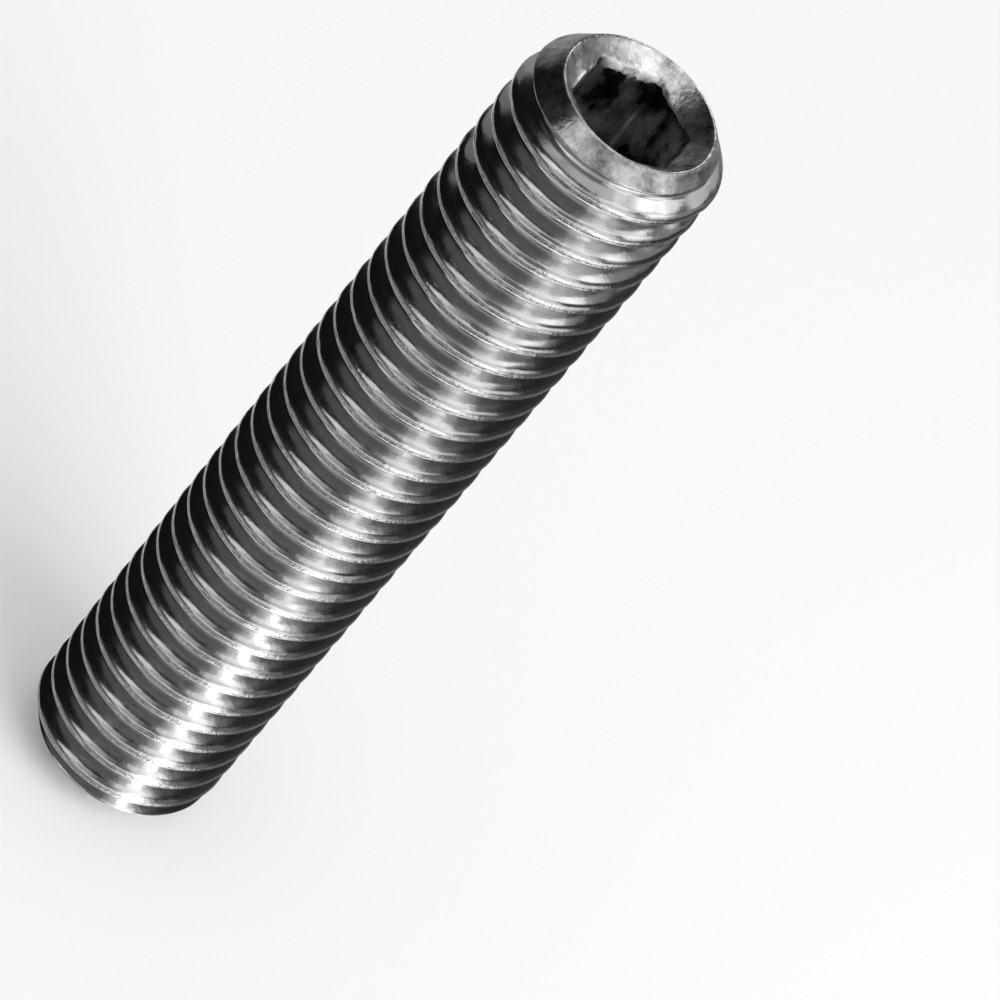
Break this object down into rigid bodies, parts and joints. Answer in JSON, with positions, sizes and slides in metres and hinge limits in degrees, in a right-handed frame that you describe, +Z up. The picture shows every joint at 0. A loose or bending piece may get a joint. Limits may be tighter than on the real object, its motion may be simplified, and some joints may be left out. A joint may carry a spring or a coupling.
{
  "type": "grub set screw",
  "caption": "Headless stainless steel set screw, threaded from end to end, with a hexagon socket in one end and a hollow cup point on the other.",
  "frame": {"origin": "centre of the cup point's lip, on the surface that the screw stands on", "axes": "+Z up the screw's axis toward the socket end; the hexagon has corners at +Y and -Y and flats at +X and -X"},
  "size_m": [0.0078, 0.0078, 0.04],
  "materials": {
    "stainless_steel": "bright rolled thread with turned ends"
  },
  "bodies": {
    "root": {"set_screw": "stainless_steel"}
  },
  "joints": []
}
